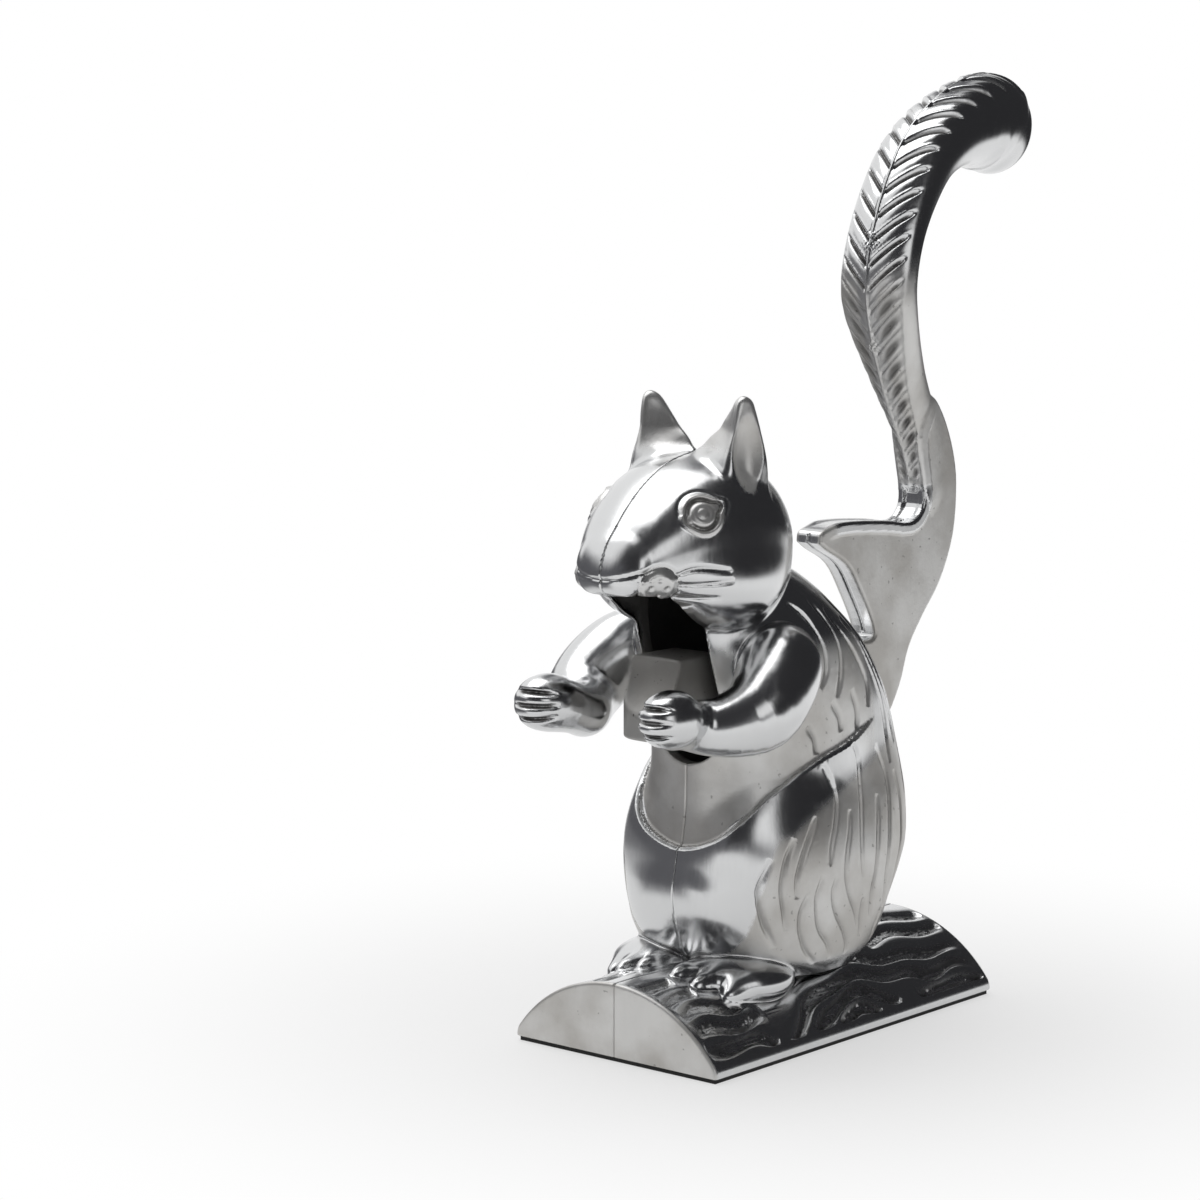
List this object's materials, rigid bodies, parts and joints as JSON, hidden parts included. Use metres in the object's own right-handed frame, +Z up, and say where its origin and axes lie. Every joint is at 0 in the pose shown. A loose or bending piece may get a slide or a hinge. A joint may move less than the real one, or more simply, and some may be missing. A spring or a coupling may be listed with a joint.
{
  "type": "lever nutcracker press",
  "caption": "Squirrel-shaped cast nutcracker press on a half-log base: the tail is a lever that lifts a cupped jaw to the muzzle.",
  "frame": {"origin": "centre of the underside of the log base, on the surface the press stands on", "axes": "+Z up, -Y the way the squirrel faces, +X the squirrel's left side; the castings are split on the plane x = 0"},
  "size_m": [0.0742, 0.1751, 0.2326],
  "materials": {
    "cast_aluminium": "sand-cast, hand polished on the high surfaces and left satin in the hollows",
    "steel": "turned and zinc plated",
    "pad": "thin black sheet glued under the log"
  },
  "bodies": {
    "body": {"left_half": "cast_aluminium", "right_half": "cast_aluminium", "pivot_pin": "steel", "left_thrust_washer": "steel", "right_thrust_washer": "steel", "assembly_screws": "steel", "alignment_dowels": "steel", "base_pad": "pad"},
    "lever": {"tail_lever": "cast_aluminium"}
  },
  "joints": [
    {"name": "tail_hinge", "type": "hinge", "parent": "body", "child": "lever", "pos_m": [0, 0.022, 0.078], "axis": [-1, 0, 0], "range_deg": [-4, 22]}
  ]
}
